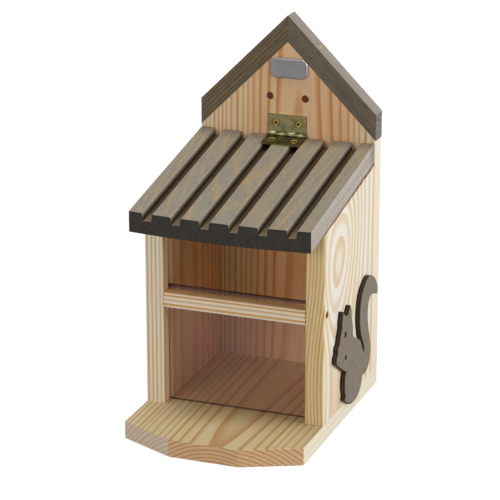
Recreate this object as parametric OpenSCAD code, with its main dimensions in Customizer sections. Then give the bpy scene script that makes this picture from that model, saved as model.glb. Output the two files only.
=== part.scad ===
// Squirrel feeding station: a wooden feed box with a landing board, a gabled back panel
// to hang it by, a clear feed pane in two grooves and a grooved lid on a small butt hinge.
// The landing faces -Y, the wall is at +Y and the base board stands on Z = 0.

/* [House] */
// Outside width across the two side panels
house_w = 174; // [140:1:220]
// Depth from the wall to the front edges of the side panels
house_d = 160; // [130:1:200]
// Thickness of the side panels
side_t = 18; // [14:0.5:24]
// Height of the side panels' front edges above the base board
side_front_h = 183; // [160:1:230]
// Slope of the side panels' top edges and of the lid, in degrees
lid_slope = 10.3; // [5:0.1:20]
// Chamfer along the side panels' front edges and the rail
board_ease = 1; // [0.2:0.1:2]

/* [Base board] */
// Thickness of the base board
base_t = 17; // [12:0.5:24]
// How far the sides of the landing run ahead of the side panels
landing_d = 52; // [30:1:80]
// How far the nose of the landing stands ahead of its side corners
nose_d = 25; // [10:1:40]
// Width of the nose's middle facet
nose_w = 67; // [40:1:100]

/* [Back panel] */
// Thickness of the back panel and depth of the gable caps
back_t = 18; // [15:0.5:24]
// How far the shoulders rise above the rear ends of the side panels
shoulder_rise = 23; // [15:1:40]
// Slope of the gable, in degrees
gable_slope = 45; // [38:1:50]
// Diameter of the two wall holes
wall_hole_d = 7; // [4:0.5:9]
// Distance between the two wall holes
wall_hole_spacing = 35; // [20:1:45]
// Height of the wall holes above the hinge pin
wall_hole_rise = 35.5; // [28:0.5:45]

/* [Gable caps] */
// Thickness of the cap strips, square to the gable
cap_t = 18; // [12:0.5:24]
// How far the caps overhang the sides of the back panel
cap_over = 0.5; // [0:0.1:3]

/* [Lid] */
// Thickness of the lid board
lid_t = 19.5; // [16:0.5:26]
// How far the lid overhangs the side panels' front edges
lid_overhang = 36; // [15:1:50]
// How far the lid's side edges stand in from the side panels' outer faces
lid_inset = 0.5; // [0:0.1:3]
// How far the middle of the lid lies below its side edges, as grooved boards cup
lid_cup = 2; // [0:0.1:3]
// Number of grooves along the lid
groove_n = 6; // [3:1:7]
// Width of a groove at its floor
groove_w = 7.5; // [5:0.5:10]
// How much each side of a groove leans outwards
groove_flare = 1; // [0.2:0.1:2]
// Depth of the grooves
groove_depth = 7; // [4:0.5:9]
// Width of the lid's two outer ridges
edge_ridge_w = 13; // [8:0.5:18]
// Chamfer along the ridges
ridge_ease = 0.8; // [0.2:0.1:1.5]

/* [Feed front] */
// Height of the rail
rail_h = 14.5; // [10:0.5:25]
// Depth of the rail
rail_d = 12; // [8:0.5:18]
// Height of the rail's top above the base board
rail_top_h = 110; // [80:1:130]
// Thickness of the feed pane
pane_t = 4; // [2:0.5:6]
// How far the pane stands above the rail
pane_rise = 3.5; // [0:0.5:8]
// Depth of the pane's grooves in the side panels
pane_groove_depth = 5; // [3:0.5:8]

/* [Hinge] */
// Length of the hinge along its pin
hinge_l = 38; // [32:1:50]
// Width of each leaf from the pin's axis
leaf_w = 19; // [16:0.5:22]
// Thickness of the leaves
leaf_t = 1.5; // [1:0.1:1.8]
// Diameter of the knuckles
barrel_d = 4.6; // [4.2:0.1:6]
// Diameter of the pin
pin_d = 2; // [1.5:0.1:2.4]
// Diameter of the pin's heads
pin_head_d = 2.8; // [2.6:0.1:4]
// Height of the pin's heads
pin_head_h = 0.6; // [0.4:0.1:1]
// Number of knuckles
knuckle_n = 4; // [3:1:6]
// Distance between a leaf's two screws
leaf_screw_spacing = 22.5; // [18:0.5:24]
// Distance from the pin's axis to the screws
leaf_screw_reach = 10.5; // [8:0.5:12]
// Diameter of the countersinks in the leaves
leaf_sink_d = 7; // [6:0.1:8]

/* [Squirrel figure] */
// Height of the figure
squirrel_h = 110.5; // [80:0.5:140]
// Thickness of the plywood
squirrel_t = 5; // [3:0.5:8]
// How far the nose stands behind the side panel's front edge
squirrel_setback = 22; // [5:1:40]
// Height of the haunch above the ground
squirrel_z = 14; // [5:1:40]
// Diameter of the eye hole
eye_d = 6; // [3:0.5:7]
// Diameter of the paw hole
paw_hole_d = 5; // [2:0.5:6]

/* [Plate] */
// Width of the plate on the gable
plate_w = 37.5; // [25:0.5:45]
// Height of the plate
plate_h = 19; // [14:0.5:24]
// Thickness of the plate
plate_t = 2; // [1:0.1:2.5]
// Corner radius of the plate
plate_r = 6; // [3.5:0.5:6.5]
// How far the plate's middle lies below the gable's point
plate_drop = 25; // [20:0.5:35]
// How far the plate sits to the right of the middle
plate_x = 1.7; // [-5:0.1:5]
// Thickness of the adhesive pad behind the plate
pad_t = 0.6; // [0.3:0.1:1]
// How far the pad stands in from the plate's edge
pad_inset = 1.5; // [0.5:0.1:3]

/* [Fasteners] */
// Shank diameter of the hinge screws
leaf_screw_d = 3; // [2.5:0.1:3.5]
// Head diameter of the hinge screws
leaf_screw_head_d = 6; // [5:0.1:7]
// Length of the hinge screws
leaf_screw_len = 15; // [10:1:15]
// Shank diameter of the carcass screws
wood_screw_d = 4; // [3:0.1:5]
// Head diameter of the carcass screws
wood_screw_head_d = 8; // [6:0.1:9]
// Length of the carcass screws
wood_screw_len = 40; // [30:1:50]
// How deep the heads of the carcass screws and the rail's screws are sunk
screw_sink = 0.5; // [0.2:0.1:2]
// Distance of the base screws from the ends of a side panel
base_screw_inset = 32; // [20:1:50]
// Distance between the base screws under the back panel
base_screw_spacing = 90; // [60:1:110]
// Distance of the back panel's screws from the ends of a side panel
back_screw_inset = 45; // [40:1:70]
// Shank diameter of the rail's screws
rail_screw_d = 3.5; // [2.5:0.1:4]
// Head diameter of the rail's screws
rail_screw_head_d = 7; // [5:0.1:8]
// Length of the rail's screws
rail_screw_len = 35; // [28:1:45]
// Distance of the rail's screws ahead of the rail's rear face
rail_screw_back = 4; // [3:0.5:5]
// Distance of the rail's screws below the rail's top
rail_screw_drop = 4.5; // [3:0.5:7]
// Length of a staple's crown
staple_w = 7.5; // [5:0.5:10]
// Side of the staple wire
staple_wire = 1.2; // [0.8:0.1:1.5]
// Length of a staple's legs
staple_len = 30; // [25:1:40]
// Distance of the staples from the gable's point, along the caps
staple_run = 40; // [20:1:70]
// Turn of the staple's crown away from the cap, in degrees
staple_skew = 30; // [0:5:45]

/* [Clearances] */
// Least gap between the closed lid and the side panels
lid_gap = 0.3; // [0.2:0.1:1]
// Gap between the lid's rear end and the back panel
lid_rear_gap = 1; // [0.5:0.1:2]
// Gap between the pane and the rail, the grooves' walls and the base board
pane_gap = 0.3; // [0.2:0.1:1]
// Gap between the pane's side edges and the grooves' floors
pane_side_gap = 0.5; // [0.3:0.1:1.5]
// Gap round the knuckles
hinge_gap = 0.3; // [0.2:0.05:0.5]
// Radial play between the pin and the knuckles
pin_play = 0.05; // [0.02:0.01:0.1]
// Gap round screws and staples in their holes
fastener_gap = 0.05; // [0.02:0.01:0.1]

/* [Hidden] */
$fn = 48;

pine = "#e0cba0";
warm_pine = "#d8aa72";
grey_stain = "#837a6c";
grey_ply = "#857b6f";
zinc = "#8d8650";
bright_steel = "#b9b48a";
plate_grey = "#9fa2a6";
clear_acrylic = [0.93, 0.88, 0.87, 0.35];

// Amount by which cuts run past the faces they open
past = 1;
// Length that reaches past the whole station
beyond = 2 * (house_w + house_d + side_front_h);

// Planes and levels of the house
inner_w = house_w - 2 * side_t;
wall_y = (house_d + landing_d + nose_d) / 2;
back_y = wall_y - back_t;
edge_y = wall_y - house_d;
corner_y = edge_y - landing_d;
nose_y = corner_y - nose_d;
edge_z = base_t + side_front_h;
rear_z = edge_z + (back_y - edge_y) * tan(lid_slope);
shoulder_z = rear_z + shoulder_rise;
apex_z = shoulder_z + house_w / 2 * tan(gable_slope);
cap_rise = cap_t / cos(gable_slope);

// The pane stands behind the rail, on the base board
rail_z = base_t + rail_top_h;
pane_y = edge_y + rail_d + pane_gap;
pane_w = inner_w + 2 * (pane_groove_depth - pane_side_gap);
pane_h = rail_top_h + pane_rise - pane_gap;

// Section of the lid, in the plane square to its slope: x across, then height above the side panels
lid_w = house_w - 2 * lid_inset;
function cup(x) = lid_cup * (pow(2 * x / lid_w, 2) - 1);
lid_lift = lid_gap - cup(inner_w / 2);
function lid_underside(x) = lid_lift + cup(x);
function lid_top(x) = lid_underside(x) + lid_t;
cup_steps = 16;
groove_top_w = groove_w + 2 * groove_flare;
groove_pitch = (lid_w - 2 * edge_ridge_w - groove_top_w) / (groove_n - 1);
function groove_x(i) = (i - (groove_n - 1) / 2) * groove_pitch;

// Six corners of one groove, from right to left
function groove_corners(x) =
    let (
        lip = groove_top_w / 2,
        shoulder = lip + ridge_ease,
        floor_w = lid_top(x) - groove_depth
    )
    [
        [x + shoulder, lid_top(x + shoulder)],
        [x + lip, lid_top(x + lip) - ridge_ease],
        [x + groove_w / 2, floor_w],
        [x - groove_w / 2, floor_w],
        [x - lip, lid_top(x - lip) - ridge_ease],
        [x - shoulder, lid_top(x - shoulder)]
    ];

lid_section = concat(
    [for (i = [0 : cup_steps]) let (x = lid_w * (i / cup_steps - 0.5)) [x, lid_underside(x)]],
    [[lid_w / 2, lid_top(lid_w / 2)]],
    [for (i = [groove_n - 1 : -1 : 0]) each groove_corners(groove_x(i))],
    [[-lid_w / 2, lid_top(-lid_w / 2)]]
);

// The hinge pin clears the back panel and the ridges by the same reach
barrel_r = barrel_d / 2;
pin_reach = barrel_r + hinge_gap;
leaf_seat = lid_top(hinge_l / 2);
pin_rise = leaf_seat + pin_reach;
pin_y = back_y - pin_reach;
pin_run = (pin_y - edge_y + pin_rise * sin(lid_slope)) / cos(lid_slope);
pin_z = edge_z + pin_run * sin(lid_slope) + pin_rise * cos(lid_slope);
leaf_sink = (leaf_sink_d - leaf_screw_head_d) / 2;
knuckle_pitch = hinge_l / knuckle_n;
knuckle_l = knuckle_pitch - hinge_gap;
function knuckle_x(i) = i * knuckle_pitch + (hinge_gap - hinge_l) / 2;

wall_hole_z = pin_z + wall_hole_rise;
plate_z = apex_z - plate_drop;

// Outline of the squirrel, nose to the left: distance behind the nose, height above the haunch,
// and 1 at a sharp corner. Smooth stretches run as curves through their points.
squirrel_points = [
    // Ears
    [18, 101, 1], [23, 95.5, 0], [31, 93, 1], [38.5, 100.5, 1], [41.5, 94, 0], [42.5, 86, 0],
    // Nape and back, down to the slit beside the tail
    [46, 78, 0], [46.5, 70.5, 0], [49.5, 65.5, 0], [58, 61, 0], [68, 55.5, 0], [73.5, 49, 0], [77.5, 42, 0],
    // End of the slit, then the inner edge of the tail, over its top to the tip
    [80, 39, 0], [81.8, 41, 0], [80.5, 45.5, 0], [77, 51.5, 0], [71.5, 59.5, 0], [67.5, 73, 0], [68, 87, 0],
    [72, 98, 0], [81, 106, 0], [93, 110.5, 0], [105, 107, 0], [114.5, 100, 0], [120, 91, 0], [119, 84.5, 1],
    // Under the tip and down the outer edge of the tail
    [110, 87.5, 0], [100, 90, 0], [93, 85, 0], [90.5, 75, 0], [93, 61, 0], [97.5, 49, 0], [101, 36, 0],
    [98, 24, 0], [89, 16.8, 0], [77, 16.5, 1],
    // Haunch and foot
    [74, 9.5, 0], [66, 2.5, 0], [57, 0, 0], [43, 0.5, 0], [39.5, 3, 1], [33, 6, 0], [26, 10.5, 0],
    [28, 15, 1],
    // Shin, belly and paw
    [25, 21.5, 0], [25, 31, 0], [28, 38.5, 1], [18, 44.5, 0], [7, 51.5, 0], [1, 55.5, 0], [0.5, 60.5, 0],
    [4.5, 65.5, 1],
    // Muzzle and brow
    [3.5, 69, 0], [8, 72.5, 1], [11, 79.5, 0], [15, 86, 0], [15, 92, 0]
];
squirrel_eye = [24.7, 76.3];
squirrel_paw_hole = [26, 53.4];
squirrel_drawn_h = 110.5;
squirrel_k = squirrel_h / squirrel_drawn_h;
curve_steps = 5;

// Point on the smooth curve from b to c, whose neighbours are a and d
function curve_at(a, b, c, d, t) =
    let (
        bend = 2 * a - 5 * b + 4 * c - d,
        twist = 3 * b - a - 3 * c + d
    )
    0.5 * (2 * b + (c - a) * t + bend * pow(t, 2) + twist * pow(t, 3));

function xy(p) = [p[0], p[1]];
function around(points, i) = points[(i + len(points)) % len(points)];

// Closed outline through points, with its sharp corners kept
function smooth_outline(points, k) = [
    for (i = [0 : len(points) - 1])
        let (
            b = around(points, i),
            c = around(points, i + 1),
            a = b[2] == 1 ? b : around(points, i - 1),
            d = c[2] == 1 ? c : around(points, i + 2)
        )
        for (s = [0 : curve_steps - 1]) k * curve_at(xy(a), xy(b), xy(c), xy(d), s / curve_steps)
];

// Frame on the side panels' slope: Y runs up the slope from the front edges, Z square to it
module on_slope() {
    translate([0, edge_y, edge_z]) rotate([lid_slope, 0, 0]) children();
}

// Stands a Y-Z outline up and gives it thickness t along +X from x
module across(x, t) {
    translate([x, 0, 0]) rotate([90, 0, 90]) linear_extrude(t) children();
}

// Stands an X-Z outline up and gives it thickness t along -Y from y
module upright(y, t) {
    translate([0, y, 0]) rotate([90, 0, 0]) linear_extrude(t) children();
}

// Countersunk fastener, head at Z = 0 and point down, grown all round by gap
module fastener(d, head_d, length, gap = 0) {
    r = d / 2 + gap;
    head_r = head_d / 2 + gap;
    rotate_extrude() polygon([
        [0, 0], [head_r, 0], [r, (d - head_d) / 2], [r, d - length], [0, -length - gap]
    ]);
}

// Hole for a fastener whose head is sunk below the surface
module fastener_hole(d, head_d, length) {
    fastener(d, head_d, length, fastener_gap);
    cylinder(h = screw_sink + past, r = head_d / 2 + fastener_gap);
}

// The hinge screws seat in countersinks wider than their heads
module leaf_screw() {
    translate([0, 0, -leaf_sink]) fastener(leaf_screw_d, leaf_screw_head_d, leaf_screw_len);
}
module leaf_screw_hole() { fastener_hole(leaf_screw_d, leaf_sink_d, leaf_screw_len + leaf_sink); }
module wood_screw() { fastener(wood_screw_d, wood_screw_head_d, wood_screw_len); }
module wood_screw_hole() { fastener_hole(wood_screw_d, wood_screw_head_d, wood_screw_len); }
module rail_screw() { fastener(rail_screw_d, rail_screw_head_d, rail_screw_len); }
module rail_screw_hole() { fastener_hole(rail_screw_d, rail_screw_head_d, rail_screw_len); }

// Staple with its crown at Z = 0 and its legs down, grown all round by gap
module staple(gap = 0) {
    wire = staple_wire + 2 * gap;
    translate([-staple_w / 2 - gap, -wire / 2, -wire]) cube([staple_w + 2 * gap, wire, wire]);
    for (x = [-staple_w / 2 - gap, staple_w / 2 + gap - wire])
        translate([x, -wire / 2, -staple_len - gap]) cube([wire, wire, staple_len + gap]);
}

module staple_hole() {
    staple(fastener_gap);
    translate([-staple_w / 2 - fastener_gap, -staple_wire / 2 - fastener_gap, -fastener_gap])
        cube([staple_w + 2 * fastener_gap, staple_wire + 2 * fastener_gap, past]);
}

// Places of the screws under the base board: two in each side panel, two in the back panel
module at_base_screws() {
    side_x = (house_w - side_t) / 2;
    for (x = [-side_x, side_x], y = [edge_y + base_screw_inset, back_y - base_screw_inset])
        translate([x, y, screw_sink]) rotate([180, 0, 0]) children();
    for (x = [-1, 1] * base_screw_spacing / 2)
        translate([x, wall_y - back_t / 2, screw_sink]) rotate([180, 0, 0]) children();
}

// Places of the screws through the back panel into the side panels' rear edges
module at_back_panel_screws() {
    side_x = (house_w - side_t) / 2;
    for (x = [-side_x, side_x], z = [base_t + back_screw_inset, rear_z - back_screw_inset])
        translate([x, wall_y - screw_sink, z]) rotate([-90, 0, 0]) children();
}

// Places of the screws through the side panels into the rail's ends
module at_rail_screws() {
    screw_y = edge_y + rail_d - rail_screw_back;
    for (m = [0, 1])
        mirror([m, 0, 0])
            translate([house_w / 2 - screw_sink, screw_y, rail_z - rail_screw_drop])
                rotate([0, 90, 0]) children();
}

// Places of the staples on the two caps
module at_gable_staples() {
    for (m = [0, 1])
        mirror([m, 0, 0])
            translate([0, wall_y - back_t / 2, apex_z + cap_rise]) rotate([0, gable_slope, 0])
                translate([staple_run, 0, 0]) rotate([0, 0, staple_skew]) children();
}

// Frames of the hinge leaves: the pin's axis along X, the leaf towards +Y, its seat below
module at_fixed_leaf() {
    translate([0, pin_y, pin_z]) rotate([90, 0, 0]) children();
}

module at_lid_leaf() {
    on_slope() translate([0, pin_run, pin_rise]) rotate([0, 0, 180]) children();
}

// Places of a leaf's screws, in the leaf's frame
module at_leaf_screws() {
    for (x = [-1, 1] * leaf_screw_spacing / 2)
        translate([x, leaf_screw_reach, leaf_t - pin_reach]) children();
}

// Rounded rectangle about the origin
module rounded_plate(w, h, r) {
    square([w - 2 * r, h], center = true);
    square([w, h - 2 * r], center = true);
    for (x = [-1, 1] * (w / 2 - r), y = [-1, 1] * (h / 2 - r)) translate([x, y]) circle(r);
}

module base_board() {
    color(pine) difference() {
        linear_extrude(base_t) polygon([
            [-house_w / 2, wall_y], [-house_w / 2, corner_y], [-nose_w / 2, nose_y],
            [nose_w / 2, nose_y], [house_w / 2, corner_y], [house_w / 2, wall_y]
        ]);
        at_base_screws() wood_screw_hole();
    }
}

// Right side panel, with the pane's groove open at the top
module side_panel() {
    color(pine) difference() {
        across(inner_w / 2, side_t) polygon([
            [edge_y, base_t], [back_y, base_t], [back_y, rear_z], [edge_y, edge_z]
        ]);
        for (x = [inner_w / 2, house_w / 2])
            translate([x, edge_y, 0]) rotate([0, 0, 45])
                cube([board_ease * sqrt(2), board_ease * sqrt(2), beyond], center = true);
        translate([inner_w / 2 - past, pane_y - pane_gap, base_t - past])
            cube([pane_groove_depth + past, pane_t + 2 * pane_gap, beyond]);
        at_base_screws() wood_screw_hole();
        at_back_panel_screws() wood_screw_hole();
        at_rail_screws() rail_screw_hole();
    }
}

module left_side_panel() { mirror([1, 0, 0]) side_panel(); }
module right_side_panel() { side_panel(); }

module back_panel() {
    color(warm_pine) difference() {
        upright(wall_y, back_t) polygon([
            [-house_w / 2, base_t], [house_w / 2, base_t], [house_w / 2, shoulder_z],
            [0, apex_z], [-house_w / 2, shoulder_z]
        ]);
        for (x = [-1, 1] * wall_hole_spacing / 2)
            translate([x, wall_y + past, wall_hole_z]) rotate([90, 0, 0])
                cylinder(h = back_t + 2 * past, d = wall_hole_d);
        at_fixed_leaf() at_leaf_screws() leaf_screw_hole();
        at_base_screws() wood_screw_hole();
        at_back_panel_screws() wood_screw_hole();
        at_gable_staples() staple_hole();
    }
}

module front_rail() {
    e = board_ease;
    color(pine) difference() {
        across(-inner_w / 2, inner_w) translate([edge_y, rail_z - rail_h]) polygon([
            [e, 0], [rail_d - e, 0], [rail_d, e], [rail_d, rail_h - e],
            [rail_d - e, rail_h], [e, rail_h], [0, rail_h - e], [0, e]
        ]);
        at_rail_screws() rail_screw_hole();
    }
}

// Right cap: mitred at the point, cut plumb at its lower end
module gable_cap() {
    end_x = house_w / 2 + cap_over;
    end_z = apex_z - end_x * tan(gable_slope);
    color(grey_stain) difference() {
        upright(wall_y, back_t) polygon([
            [0, apex_z], [end_x, end_z], [end_x, end_z + cap_rise], [0, apex_z + cap_rise]
        ]);
        at_gable_staples() staple_hole();
    }
}

module left_gable_cap() { mirror([1, 0, 0]) gable_cap(); }
module right_gable_cap() { gable_cap(); }

module squirrel_figure() {
    color(grey_ply) translate([0, edge_y + squirrel_setback, squirrel_z]) difference() {
        across(house_w / 2, squirrel_t) polygon(smooth_outline(squirrel_points, squirrel_k));
        across(house_w / 2 - past, squirrel_t + 2 * past) {
            translate(squirrel_k * squirrel_eye) circle(d = eye_d);
            translate(squirrel_k * squirrel_paw_hole) circle(d = paw_hole_d);
        }
    }
}

module gable_plate() {
    color(plate_grey) translate([plate_x, 0, plate_z]) upright(back_y - pad_t, plate_t)
        rounded_plate(plate_w, plate_h, plate_r);
}

module plate_adhesive_pad() {
    color("whitesmoke") translate([plate_x, 0, plate_z]) upright(back_y, pad_t)
        rounded_plate(plate_w - 2 * pad_inset, plate_h - 2 * pad_inset, plate_r - pad_inset);
}

module feed_pane() {
    color(clear_acrylic) translate([-pane_w / 2, pane_y, base_t + pane_gap]) cube([pane_w, pane_t, pane_h]);
}

module lid_board() {
    lid_front_y = edge_y - lid_overhang;
    lid_rear_y = back_y - lid_rear_gap;
    color(grey_stain) difference() {
        intersection() {
            on_slope() rotate([90, 0, 0]) linear_extrude(beyond, center = true) polygon(lid_section);
            translate([-house_w, lid_front_y, 0]) cube([2 * house_w, lid_rear_y - lid_front_y, beyond]);
        }
        at_lid_leaf() at_leaf_screws() leaf_screw_hole();
    }
}

// Hinge leaf with every second knuckle, starting from the given one
module hinge_leaf(first) {
    plate_y = barrel_r + hinge_gap;
    color(zinc) difference() {
        union() {
            translate([-hinge_l / 2, plate_y, -pin_reach]) cube([hinge_l, leaf_w - plate_y, leaf_t]);
            for (i = [first : 2 : knuckle_n - 1])
                translate([knuckle_x(i), 0, 0]) {
                    rotate([0, 90, 0]) cylinder(h = knuckle_l, r = barrel_r);
                    translate([0, 0, -pin_reach]) cube([knuckle_l, plate_y + leaf_t, leaf_t]);
                }
        }
        translate([-hinge_l, 0, 0]) rotate([0, 90, 0]) cylinder(h = 2 * hinge_l, r = pin_d / 2 + pin_play);
        at_leaf_screws() leaf_screw_hole();
    }
}

module hinge_fixed_leaf() { at_fixed_leaf() hinge_leaf(0); }
// Turned round, an even number of knuckles makes the lid's leaf the same piece
module hinge_lid_leaf() { at_lid_leaf() hinge_leaf(knuckle_n % 2); }

module hinge_pin() {
    shank_l = hinge_l + 2 * hinge_gap;
    color(bright_steel) translate([0, pin_y, pin_z]) rotate([0, 90, 0]) {
        cylinder(h = shank_l, d = pin_d, center = true);
        for (z = [-shank_l / 2 - pin_head_h, shank_l / 2])
            translate([0, 0, z]) cylinder(h = pin_head_h, d = pin_head_d);
    }
}

module fixed_leaf_screws() { color(bright_steel) at_fixed_leaf() at_leaf_screws() leaf_screw(); }
module lid_leaf_screws() { color(bright_steel) at_lid_leaf() at_leaf_screws() leaf_screw(); }
module base_screws() { color(bright_steel) at_base_screws() wood_screw(); }
module back_panel_screws() { color(bright_steel) at_back_panel_screws() wood_screw(); }
module rail_screws() { color(bright_steel) at_rail_screws() rail_screw(); }
module gable_staples() { color(bright_steel) at_gable_staples() staple(); }

base_board();
left_side_panel();
right_side_panel();
back_panel();
front_rail();
left_gable_cap();
right_gable_cap();
squirrel_figure();
gable_plate();
plate_adhesive_pad();
feed_pane();
lid_board();
hinge_fixed_leaf();
hinge_lid_leaf();
hinge_pin();
fixed_leaf_screws();
lid_leaf_screws();
base_screws();
back_panel_screws();
rail_screws();
gable_staples();
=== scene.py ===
"""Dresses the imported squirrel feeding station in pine, grey stain, plywood, zinc and acrylic."""
import logging
import math
from dataclasses import dataclass
from enum import Enum
from typing import Any, Callable, Dict, List, Optional, Sequence, Tuple, Union

import bmesh
import bpy
from bpy.types import ID, Material, Node, NodeSocket, NodeTree, Object
from mathutils import Euler, Matrix, Vector


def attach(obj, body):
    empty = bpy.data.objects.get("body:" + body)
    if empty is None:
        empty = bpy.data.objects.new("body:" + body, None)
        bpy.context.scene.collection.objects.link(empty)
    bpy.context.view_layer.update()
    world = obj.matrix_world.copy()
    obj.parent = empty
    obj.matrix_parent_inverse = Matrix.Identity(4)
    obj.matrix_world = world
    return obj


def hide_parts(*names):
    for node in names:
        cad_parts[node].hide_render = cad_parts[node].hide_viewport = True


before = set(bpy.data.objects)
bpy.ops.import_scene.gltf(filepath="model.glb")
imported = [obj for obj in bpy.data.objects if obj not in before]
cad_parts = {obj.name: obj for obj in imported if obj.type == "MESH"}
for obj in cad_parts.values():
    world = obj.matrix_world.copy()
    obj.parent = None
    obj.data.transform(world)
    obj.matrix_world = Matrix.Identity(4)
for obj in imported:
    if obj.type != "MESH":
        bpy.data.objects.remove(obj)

log = logging.getLogger("feeding_station")
MM = 0.001
Colour = Tuple[float, float, float, float]
Point = Tuple[float, float, float]
Pair = Tuple[float, float]
ORIGIN: Point = (0.0, 0.0, 0.0)
WHITE: Colour = (1.0, 1.0, 1.0, 1.0)
LID_SLOPE = 10.3
SMOOTH = {"interpolation_type": "SMOOTHSTEP"}


def rgb(code: str) -> Colour:
    """Turns a screen colour into a linear one.

    Args:
        code: Six hexadecimal digits after a hash sign.

    Returns:
        Linear red, green, blue and an alpha of 1.
    """
    parts = [int(code[i : i + 2], 16) / 255 for i in (1, 3, 5)]
    linear = [v / 12.92 if v <= 0.04045 else ((v + 0.055) / 1.055) ** 2.4 for v in parts]
    return (linear[0], linear[1], linear[2], 1.0)


def math_method(operation: str, swapped: bool = False) -> Callable[..., "Value"]:
    """Makes a method that adds one Math node.

    Args:
        operation: Operation of the node.
        swapped: Whether the value itself comes last.

    Returns:
        The method.
    """

    def method(value: "Value", *others: "Operand") -> "Value":
        """Adds the node and gives its result."""
        values = (*others, value) if swapped else (value, *others)
        return value.graph.math(operation, *values)

    return method


class Value:
    """A number socket whose operators add Math nodes."""

    def __init__(self, graph: "Graph", socket: NodeSocket) -> None:
        """Wraps one output socket of a graph."""
        self.graph = graph
        self.socket = socket

    __add__ = __radd__ = math_method("ADD")
    __sub__ = math_method("SUBTRACT")
    __rsub__ = math_method("SUBTRACT", swapped=True)
    __mul__ = __rmul__ = math_method("MULTIPLY")
    __truediv__ = math_method("DIVIDE")
    __rtruediv__ = math_method("DIVIDE", swapped=True)
    __pow__ = math_method("POWER")
    __mod__ = math_method("FLOORED_MODULO")
    __abs__ = math_method("ABSOLUTE")
    floor = math_method("FLOOR")
    fract = math_method("FRACT")
    exp = math_method("EXPONENT")
    root = math_method("SQRT")
    below = math_method("LESS_THAN")
    most = math_method("MAXIMUM")

    def ramp(self, low: float, high: float) -> "Value":
        """Smooth step from 0 at low up to 1 at high."""
        limits = {"Value": self, "From Min": low, "From Max": high}
        return self.graph.out(self.graph.node("ShaderNodeMapRange", SMOOTH, limits))

    def fade(self, low: float, high: float) -> "Value":
        """Smooth step from 1 at low down to 0 at high."""
        return 1 - self.ramp(low, high)

    def band(self, rise: Pair, fall: Pair) -> "Value":
        """1 between a smooth rise and a smooth fall."""
        return self.ramp(*rise) * self.fade(*fall)

    def swing(self, amount: float) -> "Value":
        """Distance of a noise from its middle, times an amount."""
        return (self - 0.5) * amount

    def hypot(self, other: "Value") -> "Value":
        """Long side of the right-angled triangle on these two."""
        return (self * self + other * other).root()


Operand = Union[Value, float, int]


class Graph:
    """Builds a shader or geometry tree from expressions."""

    def __init__(self, tree: NodeTree) -> None:
        """Starts from an empty tree."""
        self.tree = tree
        tree.nodes.clear()

    def node(
        self,
        kind: str,
        settings: Optional[Dict[str, Any]] = None,
        inputs: Optional[Dict[Union[str, int], Any]] = None,
    ) -> Node:
        """Adds any node.

        Args:
            kind: Blender's name for the node type.
            settings: Properties that are set first.
            inputs: Values or links of the sockets, by name or number.

        Returns:
            The new node.
        """
        made = self.tree.nodes.new(kind)
        for name, value in (settings or {}).items():
            setattr(made, name, value)
        for key, value in (inputs or {}).items():
            self.feed(made.inputs[key], value)
        return made

    def feed(self, socket: NodeSocket, value: Any) -> None:
        """Links a socket, or sets its own value.

        Args:
            socket: The input socket.
            value: A Value, a node for its first output, an output socket, a colour's code, a plain value, or
                a list of sources.
        """
        if isinstance(value, list):
            for source in value:
                self.feed(socket, source)
            return
        if isinstance(value, Value):
            value = value.socket
        elif isinstance(value, Node):
            value = value.outputs[0]
        elif isinstance(value, str):
            value = rgb(value)
        if isinstance(value, NodeSocket):
            self.tree.links.new(value, socket)
        else:
            socket.default_value = value

    def out(self, made: Node, key: Union[str, int] = 0) -> Value:
        """Wraps one output of a node."""
        return Value(self, made.outputs[key])

    def math(self, operation: str, *values: Operand) -> Value:
        """Adds a Math node."""
        return self.out(self.node("ShaderNodeMath", {"operation": operation}, dict(enumerate(values))))

    def mix(self, share: Operand, first: Any, second: Any, blend: str = "MIX") -> Value:
        """Mixes two colours.

        Args:
            share: Share of the second colour.
            first: Colour's code or socket.
            second: Colour's code or socket.
            blend: Blend type of the Mix node.

        Returns:
            The mixed colour.
        """
        settings = {"data_type": "RGBA", "blend_type": blend, "clamp_factor": True}
        return self.out(self.node("ShaderNodeMix", settings, {0: share, 6: first, 7: second}), 2)

    def combine(self, x: Operand, y: Operand, z: Operand) -> Value:
        """Joins three numbers into a vector."""
        return self.out(self.node("ShaderNodeCombineXYZ", None, {0: x, 1: y, 2: z}))

    def split(self, vector: Any) -> List[Value]:
        """Splits a vector into its three numbers."""
        made = self.node("ShaderNodeSeparateXYZ", None, {0: vector})
        return [self.out(made, i) for i in range(3)]


class Axis(Enum):
    """An axis of a pattern, after the pattern's turn."""

    X = 0
    Y = 1
    Z = 2


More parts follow.
